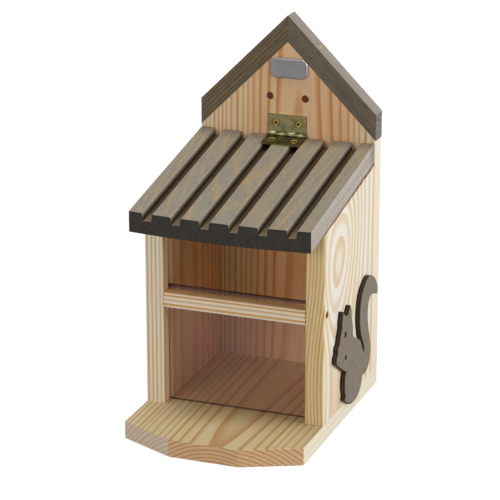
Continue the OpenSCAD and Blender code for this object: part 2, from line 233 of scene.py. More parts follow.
class Surface(Graph):
    """Shader tree of one finish, with the piece's own place in millimetres."""

    def __init__(self, name: str, turn: Point = ORIGIN) -> None:
        """Makes the material.

        Args:
            name: Name of the material.
            turn: Turn of the pattern about X, Y and Z, in degrees.
        """
        self.material = bpy.data.materials.new(name)
        self.material.use_nodes = True
        super().__init__(self.material.node_tree)
        coords = self.node("ShaderNodeTexCoord")
        turned = {"Rotation": tuple(math.radians(v) for v in turn)}
        at = {**turned, "Vector": coords.outputs["Object"], "Scale": (1 / MM,) * 3}
        way = {**turned, "Vector": coords.outputs["Normal"]}
        self.place = self.split(self.node("ShaderNodeMapping", {"vector_type": "POINT"}, at))
        self.facing = self.split(self.node("ShaderNodeMapping", {"vector_type": "VECTOR"}, way))

    def faces(self, axis: Axis, low: float, high: float) -> Value:
        """1 on the faces square to an axis, by a smooth step over the facing."""
        return abs(self.facing[axis.value]).ramp(low, high)

    def stretched(self, scale: Sequence[float], seed: float) -> Value:
        """The place scaled along each axis and moved by a seed."""
        return self.combine(*[p * s + seed for p, s in zip(self.place, scale)])

    def noise(self, scale: Sequence[float], seed: float, detail: float = 2.0, rough: float = 0.5) -> Value:
        """Noise on the stretched place."""
        inputs = {"Vector": self.stretched(scale, seed), "Scale": 1.0, "Detail": detail, "Roughness": rough}
        return self.out(self.node("ShaderNodeTexNoise", {"noise_dimensions": "3D"}, inputs))

    def noise_along(self, place: Operand, detail: float = 0.0) -> Value:
        """Noise along a line."""
        inputs = {"W": place, "Scale": 1.0, "Detail": detail}
        return self.out(self.node("ShaderNodeTexNoise", {"noise_dimensions": "1D"}, inputs))

    def chance(self, number: Operand) -> Value:
        """A fixed random number from 0 to 1 for each number."""
        return self.out(self.node("ShaderNodeTexWhiteNoise", {"noise_dimensions": "1D"}, {"W": number}))

    def finish(self, colour: Any, rough: Any, height: Any, depth: float, **fixed: Any) -> Material:
        """Ends the tree in one shader.

        Args:
            colour: Base colour.
            rough: Roughness.
            height: Height for the bump, from 0 to 1.
            depth: Depth of the bump in millimetres.
            **fixed: Other sockets of the shader by name, with _ for a space.

        Returns:
            The finished material.
        """
        bump = self.node("ShaderNodeBump", None, {"Strength": 1.0, "Distance": depth * MM, "Height": height})
        sockets: Dict[Union[str, int], Any] = {"Base Color": colour, "Roughness": rough, "Normal": bump}
        sockets.update({key.replace("_", " "): value for key, value in fixed.items()})
        shader = self.node("ShaderNodeBsdfPrincipled", None, sockets)
        self.node("ShaderNodeOutputMaterial", None, {"Surface": shader})
        return self.material


@dataclass(frozen=True)
class Swelling:
    """A rise of the rings that draws closed loops on a face, in millimetres."""

    across: float
    along: float
    wide: float
    tall: float
    high: float
    lean: float = 0.0


@dataclass(frozen=True)
class Rings:
    """Growth rings of a board, in millimetres; the pith lies across the two axes other than the grain's."""

    grain: Axis
    pith: Pair
    pitch: float
    seed: float
    warp: float = 2.0
    phase: float = 0.0
    tilt: float = 0.0
    lean: float = 0.0
    turn: Point = ORIGIN
    swellings: Tuple[Swelling, ...] = ()
    onset: float = 0.42
    uneven: float = 0.5
    rise: float = 0.44
    fall: Pair = (0.92, 1.0)

    def noise(self, to: Surface, across: float, along: float, seed: float, *shape: float) -> Value:
        """Noise with its own seed, detail and roughness, by its scales across and along the grain."""
        scale = [along if axis is self.grain else across for axis in Axis]
        return to.noise(scale, self.seed + seed, *shape)

    def draw(self, to: Surface) -> Tuple[Value, Value, Value]:
        """Adds the rings to a surface.

        Args:
            to: The surface.

        Returns:
            Share of late wood from 0 to 1, the number of the ring and the distance from the pith.
        """
        first, second = [p for i, p in enumerate(to.place) if i != self.grain.value]
        along = to.place[self.grain.value]
        reach = (first - self.pith[0] - along * self.lean).hypot(second - self.pith[1]) + along * self.tilt
        slow = self.noise(to, 0.012, 0.003, 0.0, 1.0)
        quick = self.noise(to, 0.07, 0.012, 7.0, 1.0)
        reach = reach + slow.swing(2 * self.warp) + quick.swing(0.35 * self.warp)
        for loop in self.swellings:
            above = along - loop.along
            side, up = (second - loop.across - above * loop.lean) / loop.wide, above / loop.tall
            reach = reach - ((side * side + up * up) * -1.0).exp() * loop.high
        count = reach / self.pitch + self.phase
        count = count + to.noise_along(count * 0.35 + self.seed).swing(self.uneven)
        late = count.fract().band((self.onset, self.onset + self.rise), self.fall)
        return late, count.floor(), reach


@dataclass(frozen=True)
class TintAndPaintedShade:
    """Faces of a board under a warm multiply: painted shade and painted bounce light inside the house, and a
    warmer wood tone on some outer faces.
    """

    axis: Axis
    sign: float
    tint: str
    top: float = 400.0
    half: float = 75.0
    front: float = -400.0

    def draw(self, to: Surface, colour: Value) -> Value:
        """Tints those faces.

        Args:
            to: The surface.
            colour: Colour so far.

        Returns:
            The new colour.
        """
        x, y, z = to.place
        faces = (to.facing[self.axis.value] * self.sign).ramp(0.5, 0.8)
        between = abs(x).fade(self.half - 0.5, self.half + 0.5)
        below = z.fade(self.top - 4, self.top)
        behind = y.ramp(self.front - 0.5, self.front + 0.5)
        return to.mix(faces * between * below * behind, colour, self.tint, "MULTIPLY")


@dataclass(frozen=True)
class Pine:
    """Planed, untreated pine."""

    name: str
    rings: Rings
    early: str
    late: str
    blush: str
    contrast: float = 0.9
    # Ring contrast on faces square to X: partly the wood's own, partly painted wash-out by the side light.
    washed_side_contrast: float = 0.9
    heart: Optional[Pair] = None
    holes: Tuple[Point, ...] = ()
    under_lid_line: Optional[Pair] = None
    tints_and_painted_shade: Tuple[TintAndPaintedShade, ...] = ()
    # Paler colour on faces square to X: painted light washing out the sides.
    painted_side_light: Optional[str] = None
    dash: str = "#9a6a3a"
    fibres: str = "#b98c58"
    end_early: str = "#deba8e"
    end_late: str = "#bb7445"
    scraped: str = "#d6cab8"
    torn: str = "#c07242"
    under_lid_line_colour: str = "#8f4420"
    relief: float = 0.12

    def make(self) -> Material:
        """Builds the material.

        Returns:
            The finished material.
        """
        to = Surface(self.name, self.rings.turn)
        x, _, z = to.place
        late, ring, reach = self.rings.draw(to)
        seed = self.rings.seed
        fibre = self.rings.noise(to, 1.3, 0.02, 3.0, 3.0)
        cloud = self.rings.noise(to, 0.03, 0.006, 11.0)
        dash = self.rings.noise(to, 2.2, 0.05, 5.0, 1.0).ramp(0.62, 0.75)
        fleck = to.noise((0.9, 0.9, 0.9), seed, 3.0)
        sideways = to.faces(Axis.X, 0.5, 0.8)
        # Lower ring contrast on the sides: partly the wood, partly painted wash-out by light.
        contrast = self.contrast + sideways * (self.washed_side_contrast - self.contrast)
        strong = late * (0.6 + 0.4 * to.chance(ring + seed)) * contrast
        warm = cloud.ramp(0.4, 0.75) * 0.5
        if self.heart:
            warm = warm.most(reach.fade(*self.heart) * (0.6 + 0.5 * cloud))
        colour = to.mix(strong, to.mix(warm, self.early, self.blush), self.late)
        colour = to.mix(dash * 0.16, colour, self.dash)
        colour = to.mix(fibre.swing(0.5) + 0.1, colour, self.fibres, "MULTIPLY")
        end_colour = to.mix(late * 0.95 + fleck.swing(0.6), self.end_early, self.end_late)
        scraped = (to.facing[0] * -1.0).ramp(0.2, 0.45) * (0.85 - 0.45 * late + fleck.swing(0.6))
        end_colour = to.mix(scraped, end_colour, self.scraped)
        colour = to.mix(to.faces(self.rings.grain, 0.5, 0.75), colour, end_colour)
        # Painted light: faces square to X washed paler.
        if self.painted_side_light:
            colour = to.mix(sideways * 0.6, colour, self.painted_side_light)
        # Warm multiplies by face: painted shade and bounce light inside the house, a warmer tone on some
        # outer faces.
        for tint_and_shade in self.tints_and_painted_shade:
            colour = tint_and_shade.draw(to, colour)
        for side, height, radius in self.holes:
            edge = (x - side).hypot(z - height) + fleck.swing(1.4)
            colour = to.mix(edge.fade(radius, radius + 0.4) * 0.85, colour, self.torn)
        if self.under_lid_line:
            colour = to.mix(self.line_under_lid(to, *self.under_lid_line) * 0.75, colour, self.under_lid_line_colour)
        rough = 0.55 + 0.14 * late + 0.1 * fibre
        return to.finish(colour, rough, late * 0.4 + fibre * 0.6, self.relief, Specular_IOR_Level=0.3)

    def line_under_lid(self, to: Surface, slope: float, level: float) -> Value:
        """Broken dark line just under the lid's slope, stronger towards the rear.

        Args:
            to: The surface.
            slope: Slope of the line in degrees.
            level: Height of the line, square to its slope, in millimetres.

        Returns:
            Strength of the line from 0 to 1.
        """
        _, y, z = to.place
        below = level - z * math.cos(math.radians(slope)) + y * math.sin(math.radians(slope))
        patch = to.noise_along(y * 0.11 + self.rings.seed, 2.0).ramp(0.35, 0.6)
        return below.fade(0.5, 1.1) * patch * y.ramp(10.0, 75.0)


@dataclass(frozen=True)
class Grooves:
    """Where the lid's grooves lie in its turned frame, in millimetres, and their colours, some of them
    painted shade and painted light.
    """

    pitch: float
    shoulder: float
    first: float
    top: float
    cup: float
    half: float
    front: Pair
    floor: str = "#6b573f"
    floor_painted_shade: str = "#3d3021"
    floor_painted_light: str = "#9a8968"
    wall: str = "#9a8f80"
    wall_painted_shade: str = "#5a4833"

    def draw(self, to: Surface, colour: Value, fibre: Value) -> Value:
        """Browns the grooves, with painted shade down their walls and on their floors, and painted light on
        the floors near the front.

        Args:
            to: The surface.
            colour: Colour so far.
            fibre: The grain's fibre noise.

        Returns:
            The new colour.
        """
        x, y, z = to.place
        off = abs((x - self.first + self.pitch / 2) % self.pitch - self.pitch / 2)
        share = x / self.half
        depth = self.top + self.cup * (share * share - 1) - z
        inside = off.fade(self.shoulder - 1.0, self.shoulder - 0.4) * depth.band((0.4, 1.0), (8.0, 9.0))
        # Painted light on the floors near the front; painted shade on the rest of the floors and low on the
        # walls.
        front_painted_light = y.fade(*self.front)
        floor = to.mix(fibre.swing(0.8) + 0.4 - front_painted_light * 0.4, self.floor, self.floor_painted_shade)
        floor = to.mix(front_painted_light * 0.6, floor, self.floor_painted_light)
        wall = to.mix(depth.ramp(1.2, 5.0), self.wall, self.wall_painted_shade)
        return to.mix(inside, colour, to.mix(to.faces(Axis.X, 0.4, 0.8), floor, wall))


@dataclass(frozen=True)
class GreyStain:
    """Pine under a thin grey-brown stain, with streaks of the wood showing through."""

    name: str
    rings: Rings
    grey: str
    dark: str
    streak: str
    end: str
    pale: Tuple[Axis, str]
    streaks: float = 0.7
    patchy: float = 0.5
    bloom: float = 0.0
    mottled: float = 1.5
    grooves: Optional[Grooves] = None
    rear: Optional[Pair] = None
    fine: str = "#7d7065"
    speck: str = "#16130f"
    rear_tint: str = "#4d4333"
    end_dark: str = "#191613"
    relief: float = 0.16

    def make(self) -> Material:
        """Builds the material; the pale colour goes on the faces square to its axis, partly a lighter stain
        and partly painted light.

        Returns:
            The finished material.
        """
        to = Surface(self.name, self.rings.turn)
        late, ring, _ = self.rings.draw(to)
        seed = self.rings.seed
        fibre = self.rings.noise(to, 1.6, 0.03, 2.0, 4.0, 0.65)
        mottle = self.rings.noise(to, 0.45, 0.16, 21.0, 3.0, 0.7)
        broken = self.rings.noise(to, 0.3, 0.015, 33.0).ramp(0.36, 0.58)
        cloud = self.rings.noise(to, 0.05, 0.012, 9.0, 3.0)
        drawn = self.rings.noise(to, 0.5, 0.008, 41.0)
        shade = fibre.swing(1.2) + mottle.swing(self.mottled) + 0.4
        colour = to.mix(shade, self.grey, self.dark)
        kept = (1 - self.patchy * cloud.fade(0.4, 0.58)) * self.streaks
        shown = late * late * (0.45 + 0.55 * to.chance(ring + seed)) * (0.4 + 0.6 * broken) * kept
        shown = shown.most(cloud.ramp(0.52, 0.72) * self.bloom)
        colour = to.mix(shown * (1.2 - 0.5 * mottle), colour, self.streak)
        # Pale faces square to the axis: partly a lighter stain, partly painted light.
        axis, pale = self.pale
        fine = to.mix(shade * 0.6 + drawn.swing(1.8), pale, self.fine)
        colour = to.mix(to.faces(axis, 0.55, 0.85) * 0.85, colour, fine)
        colour = to.mix(self.specks(to) * 0.85, colour, self.speck)
        if self.rear:
            colour = to.mix(to.place[1].ramp(*self.rear) * (0.25 + 0.5 * mottle), colour, self.rear_tint)
        if self.grooves:
            colour = self.grooves.draw(to, colour, fibre)
        end_colour = to.mix(mottle.swing(3.4) + fibre.swing(0.8) + 0.45, self.end, self.end_dark)
        colour = to.mix(to.faces(self.rings.grain, 0.55, 0.8), colour, end_colour)
        height = fibre * 0.7 + late * 0.3
        return to.finish(colour, 0.6 + 0.15 * fibre, height, self.relief, Specular_IOR_Level=0.28)

    def specks(self, to: Surface) -> Value:
        """Draws small black specks, one to a few square centimetres.

        Args:
            to: The surface.

        Returns:
            1 on a speck, else 0.
        """
        cells = to.node(
            "ShaderNodeTexVoronoi",
            {"voronoi_dimensions": "3D", "feature": "F1"},
            {"Vector": to.stretched((0.09, 0.09, 0.09), self.rings.seed), "Scale": 1.0},
        )
        kept = to.split(cells.outputs["Color"])[0].below(0.5)
        return to.out(cells, "Distance").fade(0.03, 0.06) * kept


@dataclass(frozen=True)
class Plywood:
    """Thin stained plywood with edges burnt by the laser that cut it."""

    name: str = "burnt_plywood"
    back: float = 87.0
    thick: float = 5.0
    core: Tuple[Pair, Pair] = ((0.36, 0.42), (0.56, 0.62))
    veneer: Tuple[Pair, Pair] = ((0.78, 0.82), (0.88, 0.92))
    stain: str = "#958978"
    stain_dark: str = "#5f5447"
    worn: str = "#85725c"
    speck: str = "#3a322a"
    burnt: str = "#231b14"
    core_tint: str = "#5c4b38"
    veneer_tint: str = "#8a6e4a"
    relief: float = 0.14

    def make(self) -> Material:
        """Builds the material.

        Returns:
            The finished material.
        """
        to = Surface(self.name)
        fibre = to.noise((0.5, 0.8, 0.1), 4.0, 4.0, 0.7)
        cloud = to.noise((0.06, 0.06, 0.02), 8.0)
        speck = to.noise((0.6, 0.6, 0.35), 15.0, 3.0, 0.75)
        face = to.mix(fibre.swing(2.4) + 0.42, self.stain, self.stain_dark)
        face = to.mix(cloud.ramp(0.4, 0.7) * 0.35, face, self.worn)
        face = to.mix((speck - 0.45) * 1.6, face, self.speck, "MULTIPLY")
        ply = (to.place[0] - self.back) / self.thick
        edge = to.mix(ply.band(*self.core) * 0.9 + speck.swing(0.9), self.burnt, self.core_tint)
        edge = to.mix(ply.band(*self.veneer) * 0.55, edge, self.veneer_tint)
        colour = to.mix(1 - to.faces(Axis.X, 0.35, 0.7), face, edge)
        return to.finish(colour, 0.62 + 0.15 * fibre, fibre, self.relief, Specular_IOR_Level=0.25)


@dataclass(frozen=True)
class Zinc:
    """Yellow passivated zinc with a faint play of colours."""

    name: str
    base: str
    tone: str
    bright: str
    seed: float
    rough: float = 0.36
    # Countersink ring colour: painted shade by default, a painted highlight on the lid's leaf.
    sink: str = "#2a2512"
    # Painted shade deep in the screws' cross recesses.
    recess: str = "#120f0a"
    brown: str = "#8f7a50"
    green: str = "#66754f"
    relief: float = 0.02

    def make(
        self,
        head: Optional[Tuple[Vector, float]] = None,
        sinks: Sequence[Tuple[Vector, Vector, float]] = (),
        far: Optional[Vector] = None,
    ) -> Material:
        """Builds the material.

        Args:
            head: For screws, the way their heads face and the heads' level that way, in millimetres;
                what lies deeper is dark.
            sinks: For leaves, middle, way and radius of each countersink, in millimetres; each gets a painted
                ring.
            far: For leaves, the way that their far edge faces; faces turned that way get a painted highlight.

        Returns:
            The finished material.
        """
        to = Surface(self.name)
        cloud = to.noise((0.13, 0.13, 0.13), self.seed)
        tint = to.noise((0.11, 0.11, 0.11), self.seed + 6.0, 1.0)
        brush = to.noise((0.25, 4.0, 4.0), self.seed + 2.0)
        colour = to.mix(cloud.ramp(0.35, 0.65), self.base, self.tone)
        colour = to.mix(tint.ramp(0.52, 0.68) * 0.35, colour, self.brown)
        colour = to.mix(tint.fade(0.34, 0.48) * 0.4, colour, self.green)
        colour = to.mix(brush.ramp(0.5, 0.8) * 0.35, colour, self.bright)
        # Painted shade in the cross recess below the head's level.
        if head:
            depth = head[1] - sum(p * n for p, n in zip(to.place, head[0]))
            colour = to.mix(depth.ramp(0.3, 0.55), colour, self.recess)
        # A painted ring of the sink colour in each countersink: painted shade on the fixed leaf, a painted
        # highlight on the lid's leaf.
        for middle, way, radius in sinks:
            off = [p - m for p, m in zip(to.place, middle)]
            along = sum(o * w for o, w in zip(off, way))
            apart = (sum(o * o for o in off) - along * along).root()
            colour = to.mix(apart.fade(radius, radius + 0.25) * 0.75, colour, self.sink)
        # Painted highlight on faces turned the far way, the knuckles too.
        if far:
            painted_highlight = sum(f * n for f, n in zip(to.facing, far))
            colour = to.mix(painted_highlight.ramp(0.6, 0.9) * 0.9, colour, self.bright)
        return to.finish(colour, self.rough + brush.swing(0.22), brush, self.relief, Metallic=0.92)


@dataclass(frozen=True)
class PlateMetal:
    """Satin aluminium of the bare plate, with a painted highlight on its bevelled edge where it faces the
    right.
    """

    name: str = "satin_plate"
    middle: Pair = (1.7, 310.80511)
    half: Pair = (18.75, 9.5)
    corner: float = 6.0
    bevel: float = 1.0
    metal: str = "#6a6b6d"
    brushed: str = "#7d7e80"
    dull: str = "#5e5f61"
    bright: str = "#c4c5c8"
    relief: float = 0.015

    def make(self) -> Material:
        """Builds the material.

        Returns:
            The finished material.
        """
        to = Surface(self.name)
        brush = to.noise((0.4, 3.0, 6.0), 3.0)
        cloud = to.noise((0.1, 0.1, 0.1), 5.0)
        across, up = [
            (abs(to.place[axis.value] - middle) - (half - self.corner)).most(0.0)
            for axis, middle, half in zip((Axis.X, Axis.Z), self.middle, self.half)
        ]
        inward = self.corner - across.hypot(up)
        colour = to.mix(brush * 0.6, self.metal, self.brushed)
        colour = to.mix(cloud.ramp(0.45, 0.7) * 0.3, colour, self.dull)
        # Painted highlight along the bevel on the side that faces the right lamp.
        edge = inward.fade(self.bevel - 0.2, self.bevel + 0.2) * to.facing[0].ramp(-0.1, 0.5)
        colour = to.mix(edge * 0.85, colour, self.bright)
        return to.finish(colour, 0.4 - 0.14 * edge + brush.swing(0.2), brush, self.relief, Metallic=0.7)


@dataclass(frozen=True)
class Foam:
    """Pale adhesive foam."""

    name: str = "adhesive_foam"
    pale: str = "#d9d8d2"
    shaded: str = "#c2c0b8"
    relief: float = 0.08

    def make(self) -> Material:
        """Builds the material.

        Returns:
            The finished material.
        """
        to = Surface(self.name)
        cell = to.noise((2.5, 2.5, 2.5), 1.0)
        return to.finish(to.mix(cell, self.pale, self.shaded), 0.8 + 0.1 * cell, cell, self.relief)


@dataclass(frozen=True)
class Acrylic:
    """Clear acrylic with a faint warm haze; its sawn top and bottom edges are darker, partly their own cut
    and partly painted shade, and the pane above the rail carries a painted strip of shade and reflection.
    """

    name: str = "clear_acrylic"
    painted_shade_from: float = 127.4
    clear: str = "#d8aeb0"
    sawn: str = "#432a16"
    relief: float = 0.002
    bending: float = 1.49

    def make(self) -> Material:
        """Builds the material.

        Returns:
            The finished material.
        """
        to = Surface(self.name)
        haze = to.noise((0.02, 0.02, 0.02), 2.0, 3.0)
        scuff = to.noise((0.3, 0.3, 0.06), 6.0, 3.0)
        # Darker sawn edges, partly painted shade, and a painted strip of shade and reflection above the rail.
        edge = to.faces(Axis.Z, 0.4, 0.75).most(to.place[2].ramp(self.painted_shade_from, self.painted_shade_from + 0.8) * 0.95)
        colour = to.mix(edge, self.clear, self.sawn)
        alpha = (0.05 + 0.06 * haze) * (1 - edge) + edge * 0.7
        rough = 0.05 + 0.05 * scuff + 0.5 * edge
        return to.finish(colour, rough, scuff, self.relief, Alpha=alpha, IOR=self.bending)


class Easing(Enum):
    """How edges are eased: width, shortest edge that is eased, both in millimetres, and facets."""

    SANDED = (0.7, 3.0, 2)
    SAWN = (0.35, 3.0, 2)
    LASER_CUT = (0.35, 0.05, 2)
    PLATE = (0.9, 0.05, 3)
    PIN = (0.15, 0.1, 2)


class Shape:
    """Helpers that turn meshes into finished pieces."""

    weld: float = 0.002 * MM
    flat_angle: float = math.radians(0.5)
    edge_angle: float = math.radians(25)

    @staticmethod
    def link(name: str, data: ID) -> Object:
        """Puts a mesh, a camera or a lamp into the scene.

        Args:
            name: Name of the object.
            data: What it shows.

        Returns:
            The object, at the origin.
        """
        made = bpy.data.objects.new(name, data)
        bpy.context.scene.collection.objects.link(made)
        return made

    @staticmethod
    def baked(source: Object, name: str, at: Optional[Matrix] = None, **bevel: Any) -> Object:
        """Turns an object with live modifiers into a plain mesh in its place.

        Args:
            source: Object whose evaluated mesh is kept; it is removed.
            name: Name of the new piece.
            at: Where the mesh goes in the shared frame, if it isn't there yet.
            **bevel: Settings of a bevel that is added first.

        Returns:
            The new object, at the origin.
        """
        if bevel:
            eased = source.modifiers.new("eased", "BEVEL")
            for key, value in bevel.items():
                setattr(eased, key, value)
        bpy.context.view_layer.update()
        graph = bpy.context.evaluated_depsgraph_get()
        mesh = bpy.data.meshes.new_from_object(source.evaluated_get(graph))
        mesh.transform(at or Matrix.Identity(4))
        source.modifiers.clear()
        bpy.data.objects.remove(source)
        mesh.name = name
        return Shape.link(name, mesh)

    @staticmethod
    def absorb(piece: Object, other: Object) -> None:
        """Adds another piece's mesh to a piece.

        Args:
            piece: The piece that stays.
            other: The piece that is removed.
        """
        work = bmesh.new()
        work.from_mesh(piece.data)
        work.from_mesh(other.data)
        work.to_mesh(piece.data)
        work.free()
        bpy.data.objects.remove(other)

    @staticmethod
    def merge_flat(work: bmesh.types.BMesh, angle: float) -> None:
        """Makes one face of faces that lie within an angle of each other."""
        bmesh.ops.dissolve_limit(work, angle_limit=angle, verts=work.verts, edges=work.edges, delimit=set())

    @staticmethod
    def settle(piece: Object, body: str, slot: str, nodes: Sequence[str], finish: Material) -> None:
        """Gives a piece its finish, its body and the solids it stands for.

        Args:
            piece: The piece.
            body: Body that it moves with.
            slot: Material slot of the record; not used.
            nodes: CAD nodes that it replaces.
            finish: Its material.
        """
        piece.data.materials.clear()
        piece.data.materials.append(finish)
        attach(piece, body)
        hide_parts(*nodes)
        log.info("%s: %d faces on %s", piece.name, len(piece.data.polygons), body)

    @staticmethod
    def from_solid(
        node: str, name: str, easing: Easing, slot: str, finish: Material, body: str = "house"
    ) -> None:
        """Builds a piece as its solid with the long edges eased.

        Args:
            node: CAD node that it copies and replaces.
            name: Name of the piece.
            easing: How its edges are eased.
            slot: Material slot of the record.
            finish: Its material.
            body: Body that it moves with.
        """
        width, shortest, segments = easing.value
        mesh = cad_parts[node].data.copy()
        mesh.name = name
        mesh.materials.clear()
        work = bmesh.new()
        work.from_mesh(mesh)
        bmesh.ops.remove_doubles(work, verts=work.verts, dist=Shape.weld)
        Shape.merge_flat(work, Shape.flat_angle)
        weights = work.edges.layers.float.new("bevel_weight_edge")
        for edge in work.edges:
            sharp = edge.is_manifold and edge.calc_face_angle(0) > Shape.edge_angle
            edge[weights] = float(sharp and edge.calc_length() > shortest * MM)
        work.to_mesh(mesh)
        work.free()
        chosen = {"limit_method": "WEIGHT", "use_clamp_overlap": True}
        piece = Shape.baked(Shape.link(name, mesh), name, width=width * MM, segments=segments, **chosen)
        Shape.settle(piece, body, slot, [node], finish)


class GeometryTree(Graph):
    """Geometry Nodes tree with named inputs."""

    def __init__(
        self, name: str, lengths: Dict[str, float], others: Optional[Dict[str, Union[int, float]]] = None
    ) -> None:
        """Makes the tree and its sockets.

        Args:
            name: Name of the tree.
            lengths: Named inputs that are lengths, in millimetres.
            others: Named inputs that are whole numbers or angles.
        """
        tree = bpy.data.node_groups.new(name, "GeometryNodeTree")
        super().__init__(tree)
        tree.interface.new_socket("Geometry", in_out="OUTPUT", socket_type="NodeSocketGeometry")
        self.values: Dict[str, Any] = {label: length * MM for label, length in lengths.items()}
        self.values.update(others or {})
        self.keys: Dict[str, str] = {}
        self.socket("Geometry", "Geometry")
        for label, value in self.values.items():
            self.socket(label, "Int" if isinstance(value, int) else "Float")
        self.socket("Material", "Material")
        self.start = self.node("NodeGroupInput")

    def socket(self, label: str, kind: str) -> None:
        """Adds a named input and keeps its identifier."""
        made = self.tree.interface.new_socket(label, in_out="INPUT", socket_type="NodeSocket" + kind)
        self.keys[label] = made.identifier

    def size(self, label: str) -> Value:
        """A named input."""
        return self.out(self.start, label)

    def above(self, height: Operand) -> Value:
        """The place at a height above the origin."""
        return self.combine(0.0, 0.0, height)

    def box(self, size: Any, at: Any) -> Node:
        """A block of a size, with its middle at a place."""
        return self.moved(self.node("GeometryNodeMeshCube", None, {"Size": size}), at)

    def rod(self, sides: int, radius: Operand, length: Operand, at: Any) -> Node:
        """An upright rod with its middle at a place."""
        sizes = {"Vertices": sides, "Radius": radius, "Depth": length}
        return self.moved(self.node("GeometryNodeMeshCylinder", None, sizes), at)

    def cone(self, sides: int, top: Operand, bottom: Operand, height: Operand, at: Any) -> Node:
        """An upright cut cone that stands on a place."""
        sizes = {"Vertices": sides, "Radius Top": top, "Radius Bottom": bottom, "Depth": height}
        return self.moved(self.node("GeometryNodeMeshCone", None, sizes), at)

    def moved(self, shape: Any, at: Any, turn: Point = ORIGIN) -> Node:
        """A shape turned and moved."""
        inputs = {"Geometry": shape, "Translation": at, "Rotation": turn}
        return self.node("GeometryNodeTransform", None, inputs)

    def repeated(self, shape: Any, points: Any, turn: Any = ORIGIN) -> Node:
        """A shape on each point."""
        inputs = {"Points": points, "Instance": shape, "Rotation": turn}
        return self.node("GeometryNodeInstanceOnPoints", None, inputs)

    def joined(self, *shapes: Any) -> Node:
        """Several shapes as one."""
        return self.node("GeometryNodeJoinGeometry", None, {0: list(reversed(shapes))})

    def fused(self, *shapes: Any) -> Node:
        """Several overlapping shapes as one skin."""
        return self.node("GeometryNodeMeshBoolean", {"operation": "UNION"}, {1: list(shapes)})

    def cut(self, shape: Any, *tools: Any) -> Node:
        """A shape less others."""
        return self.node("GeometryNodeMeshBoolean", {"operation": "DIFFERENCE"}, {0: shape, 1: list(tools)})

    def close(self, shape: Any) -> "GeometryTree":
        """Ends the tree: real meshes, then the material.

        Args:
            shape: What the tree gives.

        Returns:
            The tree.
        """
        real = self.node("GeometryNodeRealizeInstances", None, {0: shape})
        dress = {"Geometry": real, "Material": self.start.outputs["Material"]}
        self.node("NodeGroupOutput", None, {0: self.node("GeometryNodeSetMaterial", None, dress)})
        return self

    def run(
        self,
        name: str,
        dress: Material,
        at: Optional[Matrix] = None,
        points: Sequence[Point] = (ORIGIN,),
        edges: Sequence[Tuple[int, int]] = (),
    ) -> Object:
        """Runs the tree on points and keeps a plain mesh.

        Args:
            name: Name of the piece.
            dress: The material.
            at: Where the tree's frame lies in the shared one, if apart from it.
            points: Points that the tree works on, in its own frame.
            edges: Edges between the points.

        Returns:
            The new object, at the origin.
        """
        mesh = bpy.data.meshes.new(name + "_points")
        mesh.from_pydata([Vector(p) for p in points], list(edges), [])
        host = Shape.link(name + "_host", mesh)
        modifier = host.modifiers.new("tree", "NODES")
        modifier.node_group = self.tree
        for label, value in {**self.values, "Material": dress}.items():
            modifier[self.keys[label]] = value
        return Shape.baked(host, name, at)


@dataclass(frozen=True)
class Fasteners:
    """Countersunk screws: a head with a cross recess on a plain shank.

    Sizes are in millimetres; the dome's top, the tip and the slots are shares of a radius.
    """

    head_d: float
    shank_d: float
    length: float
    dome: float
    recess: float
    seed: int = 3
    sides: int = 32
    dome_top: float = 0.88
    tip: float = 0.1
    slot_l: float = 1.3
    slot_w: float = 0.42

    def tree(self) -> GeometryTree:
        """Builds the tree that puts one fastener on each point, head up.

        Returns:
            The tree.
        """
        lengths = {
            "Head Radius": self.head_d / 2, "Shank Radius": self.shank_d / 2, "Length": self.length,
            "Dome": self.dome, "Recess": self.recess,
        }
        to = GeometryTree("fastener_on_points", lengths, {"Seed": self.seed})
        head_r, shank_r, length, dome, recess = (to.size(label) for label in lengths)
        under = head_r - shank_r
        straight = length - under - shank_r
        whole = to.fused(
            to.cone(self.sides, head_r, shank_r, under, to.above(under * -1.0)),
            to.cone(self.sides, head_r * self.dome_top, head_r, dome, ORIGIN),
            to.rod(self.sides, shank_r, straight, to.above((under + straight / 2) * -1.0)),
            to.cone(self.sides, shank_r, shank_r * self.tip, shank_r, to.above(length * -1.0)),
        )
        slot_l, slot_w = head_r * self.slot_l, head_r * self.slot_w
        arms = [to.combine(slot_l, slot_w, recess), to.combine(slot_w, slot_l, recess)]
        cross = [to.box(size, to.above(dome - recess * 0.25)) for size in arms]
        turn = to.node(
            "FunctionNodeRandomValue", {"data_type": "FLOAT_VECTOR"},
            {"Min": ORIGIN, "Max": (0.0, 0.0, math.pi), "Seed": to.size("Seed")},
        )
        return to.close(to.repeated(to.cut(whole, *cross), to.start, turn))


